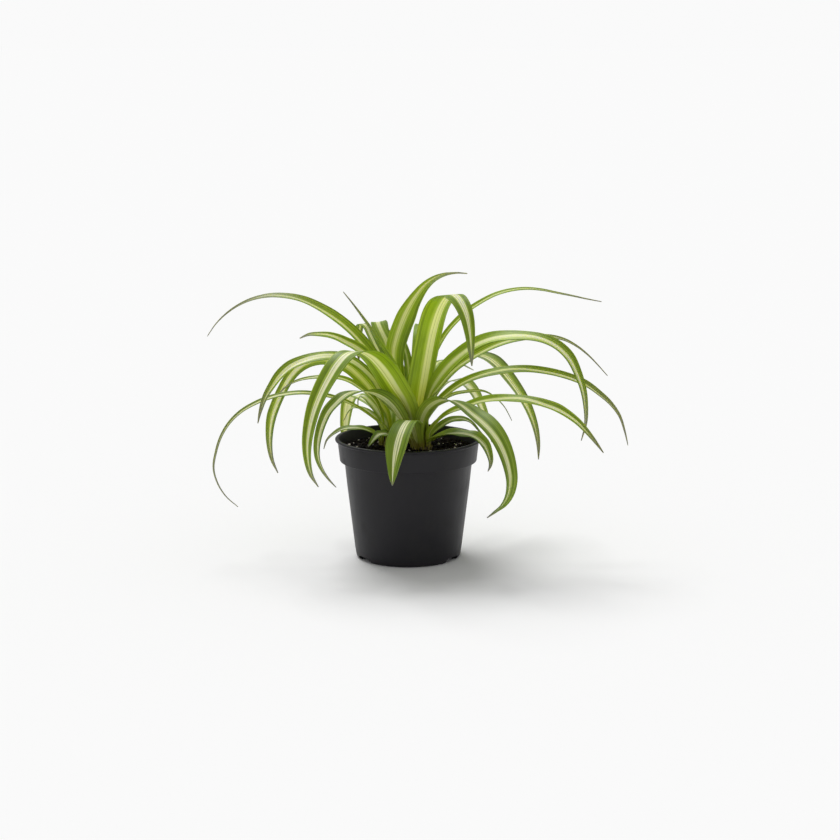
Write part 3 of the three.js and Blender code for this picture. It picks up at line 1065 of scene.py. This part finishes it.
class Habit(Enum):
    """How old a leaf is and which side of it shows most."""

    BRIGHT = "bright"
    MATURE = "mature"
    PALE = "pale"
    YOUNG = "young"


@dataclass(frozen=True)
class Marking:
    """How one leaf is marked.

    Attributes:
        habit: Its age.
        stripe: The cream stripe's half width, as a share of the blade's.
        shift: How far the stripe is to the right of the middle, in the same share.
        dry: The share of its length that is withered at the tip.
    """

    habit: Habit = Habit.BRIGHT
    stripe: float = 0.2
    shift: float = 0.0
    dry: float = 0.2


MARKINGS: dict[str, Marking] = {
    "leaf_left_long_arch": Marking(stripe=0.16, shift=-0.15, dry=0.6),
    "leaf_left_needle": Marking(stripe=0.1, dry=0.42),
    "leaf_left_broad": Marking(stripe=0.2, dry=0.12),
    "leaf_left_upper": Marking(stripe=0.28, dry=0.12),
    "leaf_left_middle": Marking(Habit.BRIGHT, 0.36),
    "leaf_left_low": Marking(Habit.MATURE, 0.22),
    "leaf_side_tall_arch": Marking(Habit.BRIGHT, 0.3),
    "leaf_side_short": Marking(stripe=0.25),
    "leaf_side_whip": Marking(Habit.MATURE, 0.28, dry=0.6),
    "leaf_side_behind": Marking(Habit.PALE, 0.36),
    "leaf_side_curl": Marking(Habit.PALE, 0.3),
    "leaf_side_stub": Marking(Habit.PALE, 0.35),
    "leaf_side_over_rim": Marking(Habit.MATURE, 0.2, dry=0.45),
    "leaf_side_small": Marking(Habit.MATURE, 0.25, dry=0.08),
    "leaf_front_short": Marking(Habit.MATURE, 0.24, dry=0.04),
    "leaf_top_curl": Marking(stripe=0.2, shift=0.25, dry=0.24),
    "leaf_top_broad": Marking(stripe=0.24, shift=0.15, dry=0.1),
    "leaf_top_hook": Marking(Habit.MATURE, 0.1),
    "leaf_top_folded": Marking(Habit.MATURE, 0.28),
    # Painted shade: the darker mature skin stands for a blade whose underside is in shade.
    "leaf_top_back": Marking(Habit.MATURE, 0.24),
    "leaf_new_spear": Marking(Habit.YOUNG, 0.4),
    "leaf_new_pale": Marking(Habit.YOUNG, 0.4),
    "leaf_right_long_arch": Marking(stripe=0.1, dry=0.3),
    "leaf_right_broad": Marking(stripe=0.26, shift=0.1),
    "leaf_right_striped": Marking(stripe=0.22, dry=0.5),
    "leaf_right_level": Marking(stripe=0.16, dry=0.4),
    "leaf_right_behind": Marking(Habit.MATURE, 0.26),
    "leaf_right_low": Marking(stripe=0.2),
    "leaf_right_front_broad": Marking(Habit.MATURE, 0.18, 0.2, dry=0.1),
    "leaf_right_over_rim": Marking(Habit.MATURE, 0.2),
    "leaf_right_small": Marking(Habit.MATURE, 0.2),
    "leaf_right_pale": Marking(Habit.PALE, 0.3),
}


@dataclass
class Foliage:
    """All the leaves, each one a thin channelled blade along its packed leaf.

    Attributes:
        skins: The leaf skin of each habit.
        soil_top: The height of the soil that the blades run down into.
        box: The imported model's low and high corners, which no blade stands out of.
        thickness: How thick a blade is.
        clasp: A blade's width where it clasps the crown, as a share of its belly's.
        opening: The share of its length in which it opens to its belly's width.
        crease: How much of its channel a blade loses where it turns over.
        crease_span: How far along it that flattening reaches, as a share of its length.
        columns: How many columns of faces a blade has across.
        rows: How many rows it has along.
    """

    skins: dict[Habit, bpy.types.Material]
    soil_top: float
    box: tuple[Vector, Vector]
    thickness: float = 0.45 * MM
    columns: int = 12
    rows: int = 84
    clasp: float = 0.5
    opening: float = 0.25
    crease: float = 0.85
    crease_span: float = 0.09

    def place(self, run: BladeRun, across: float, share: float, phase: float) -> Vector:
        """A point of the blade's middle surface.

        Args:
            run: The leaf's runs.
            across: From -1 at the left edge to 1 at the right.
            share: From below 0, under the crown, to 1 at the tip.
            phase: What the edge's slight wave starts from.

        Returns:
            The point.
        """
        inside = max(share, 0.0)
        middle = along(run.middles, inside)
        half = along(run.halves, inside)
        from_crest = (share - run.crest) / self.crease_span
        lift = along(run.lifts, inside) * (1.0 - self.crease * math.exp(-(from_crest**2)))
        if share < 0:
            middle = middle + run.heading(0.01) * share * run.length
        opened = ease(-0.02, self.opening, share)
        wanted = run.belly * (self.clasp + (1.0 - self.clasp) * opened)
        faded = 1.0 - ease(0.22, 0.42, share)
        wider = 1.0 + (max(wanted / half.length, 1.0) - 1.0) * faded
        deeper = wider * (1.0 + 0.9 * (1.0 - opened))
        wave = 0.05 * half.length * math.sin(share * 23 + phase) * across**2
        deep = abs(across) ** 1.6
        return middle + half * across * wider + lift * deep * deeper + lift.normalized() * wave

    def held(self, place: Vector) -> Vector:
        """A point brought inside the box, with room left for the blade's thickness."""
        room = self.thickness / 2 + 0.02 * MM
        low, high = self.box
        return Vector(min(max(place[i], low[i] + room), high[i] - room) for i in range(3))

    def blade(
        self, leaf: bpy.types.Object, run: BladeRun, marking: Marking, phase: float
    ) -> bpy.types.Object:
        """One leaf.

        Args:
            leaf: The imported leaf.
            run: Its runs.
            marking: How it is marked.
            phase: A number of its own, for its variety.

        Returns:
            The piece that stands for it.
        """
        mesh = bmesh.new()
        made = bmesh.ops.create_grid(mesh, x_segments=self.columns, y_segments=self.rows, size=0.5)["verts"]
        under = (run.middles[0].z - self.soil_top + 1.2 * MM) / run.length
        spots: dict[bmesh.types.BMVert, tuple[float, float]] = {}
        for vert in made:
            reach = min(abs(vert.co.x) * 2.0, 1.0)
            across = math.copysign(1.0 - (1.0 - reach) ** 1.5, vert.co.x)
            share = -under + (1.0 + under) * (vert.co.y + 0.5)
            spots[vert] = (across, share)
        uv = mesh.loops.layers.uv.new(BLADE_UV)
        for face in mesh.faces:
            for loop in face.loops:
                across, share = spots[loop.vert]
                loop[uv].uv = ((across + 1.0) / 2.0, max(share, 0.0))
        for vert, (across, share) in spots.items():
            vert.co = self.held(self.place(run, across, share, phase))
        piece = finish_piece(leaf.name + "_blade", mesh, self.skins[marking.habit], 180.0)
        tags = {
            BLADE_SEED: phase,
            BLADE_STRIPE: marking.stripe,
            BLADE_SHIFT: marking.shift,
            BLADE_DRY: marking.dry,
            BLADE_CREST: run.crest,
        }
        for label, value in tags.items():
            tag = piece.data.attributes.new(label, "FLOAT", "POINT")
            tag.data.foreach_set("value", [value] * len(piece.data.vertices))
        skin = piece.modifiers.new("thickness", "SOLIDIFY")
        skin.thickness = self.thickness
        skin.offset = 0.0
        return settle(piece, "leaf", leaf.name)

    def build(self, nodes: dict[str, bpy.types.Object]) -> list[bpy.types.Object]:
        """Every leaf.

        Args:
            nodes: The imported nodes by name.

        Returns:
            The blades.
        """
        boxes = [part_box(name) for name in nodes if name.startswith("crown_")]
        crown_top = max(high.z for _, high in boxes)
        crowns = [(low + high) / 2 for low, high in boxes]
        blades = []
        for index, name in enumerate(sorted(n for n in nodes if n.startswith("leaf_"))):
            run = BladeRun.read(nodes[name], crown_top, crowns)
            marking = MARKINGS.get(name, Marking())
            blades.append(self.blade(nodes[name], run, marking, 0.7 + index * 1.37))
        return blades


# ------------------------------------------------------------------ studio


@dataclass
class Studio:
    """The white paper floor, the soft lights and the camera.

    Attributes:
        paper: The floor's material.
        eye: Where the camera is.
        pitch: How far it looks down, in degrees.
        lens: Its focal length on a 36 mm wide sensor, in millimetres.
        room: How bright the room's light is.
        backdrop: How bright the paper behind the plant looks.
    """

    paper: bpy.types.Material
    eye: tuple[float, float, float] = (0.0096, -1.6076, 0.423)
    pitch: float = 10.9
    lens: float = 85.7
    room: float = 0.42
    backdrop: float = 0.955

    def floor(self) -> None:
        """A wide round sheet of paper just under the pot."""
        mesh = bmesh.new()
        bmesh.ops.create_circle(mesh, cap_ends=True, segments=96, radius=60.0)
        bmesh.ops.translate(mesh, vec=(0, 0, -0.0002), verts=mesh.verts)
        finish_piece("paper_floor", mesh, self.paper, 180.0)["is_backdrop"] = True

    def lights(self) -> None:
        """One broad key from behind and above the left shoulder of the plant, in a white room."""
        key = bpy.data.lights.new("key", "SUN")
        key.energy = 2.12
        key.angle = math.radians(33.0)
        lamp = bpy.data.objects.new("key", key)
        aim = Vector((0.3, -0.66, -1.26))
        lamp.rotation_euler = aim.to_track_quat("-Z", "Y").to_euler()
        bpy.context.scene.collection.objects.link(lamp)
        world = bpy.data.worlds.new("white_room")
        world.use_nodes = True
        sketch = Sketch(world.node_tree)
        back = world.node_tree.nodes["Background"]
        back.inputs["Color"].default_value = (1.0, 1.0, 1.0, 1.0)
        seen = sketch.node("ShaderNodeLightPath").outputs["Is Camera Ray"]
        strength = sketch.math("MULTIPLY_ADD", seen, self.backdrop - self.room, self.room)
        sketch.feed(back.inputs["Strength"], strength)
        bpy.context.scene.world = world

    def camera(self) -> None:
        """The camera, a little above the rim and looking slightly down."""
        data = bpy.data.cameras.new("camera")
        data.lens = self.lens
        data.sensor_width = 36.0
        data.clip_end = 100.0
        camera = bpy.data.objects.new("camera", data)
        camera.location = self.eye
        camera.rotation_euler = (math.radians(90.0 - self.pitch), 0.0, 0.0)
        bpy.context.scene.collection.objects.link(camera)
        bpy.context.scene.camera = camera

    def build(self) -> None:
        """Sets the whole studio up."""
        self.camera()
        self.lights()
        self.floor()
        bpy.context.scene.view_settings.view_transform = "Standard"


def leaf_skins() -> dict[Habit, bpy.types.Material]:
    """The skin of every habit."""
    skins = {
        Habit.BRIGHT: LeafSkin("leaf_skin_bright"),
        Habit.MATURE: LeafSkin(
            "leaf_skin_mature",
            green=colour(128, 156, 44),
            deep=colour(70, 94, 18),
            shade=colour(106, 134, 36),
            fresh=colour(166, 184, 88),
            cream=colour(250, 253, 198),
            vein=colour(168, 184, 92),
            glow=0.5,
        ),
        Habit.PALE: LeafSkin(
            "leaf_skin_pale",
            green=colour(132, 158, 56),
            deep=colour(88, 114, 34),
            shade=colour(112, 138, 52),
            fresh=colour(192, 204, 130),
            cream=colour(240, 242, 208),
            vein=colour(176, 190, 116),
            softness=0.16,
            gloss=0.5,
        ),
        Habit.YOUNG: LeafSkin(
            "leaf_skin_young",
            green=colour(168, 182, 92),
            deep=colour(140, 158, 70),
            fresh=colour(196, 204, 130),
            tip=colour(200, 206, 150),
            gloss=0.36,
        ),
    }
    return {habit: skin.build() for habit, skin in skins.items()}


def main() -> None:
    """Builds the studio and every piece in order."""
    logging.basicConfig(level=logging.INFO, format="%(name)s: %(message)s")
    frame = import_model()
    cad_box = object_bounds()
    nodes: dict[str, bpy.types.Object] = frame["nodes"]
    Studio(StudioPaper().build()).build()
    NurseryPot(MouldedPlastic().build()).build()

    crowns = {name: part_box(name) for name in nodes if name.startswith("crown_")}
    spots = []
    for low, high in crowns.values():
        spots.append(((low.x + high.x) / 2, (low.y + high.y) / 2, (high.x - low.x) / 2 * 0.9))
    bed = SoilBed(Earth().build(), Perlite().build(), spots)
    bed.build()
    fibre = Fibre().build()
    for index, name in enumerate(sorted(crowns)):
        CrownKnot(name, fibre, seed=3 + index).build()
    Foliage(leaf_skins(), bed.top, cad_box).build(nodes)


if __name__ == "__main__":
    main()
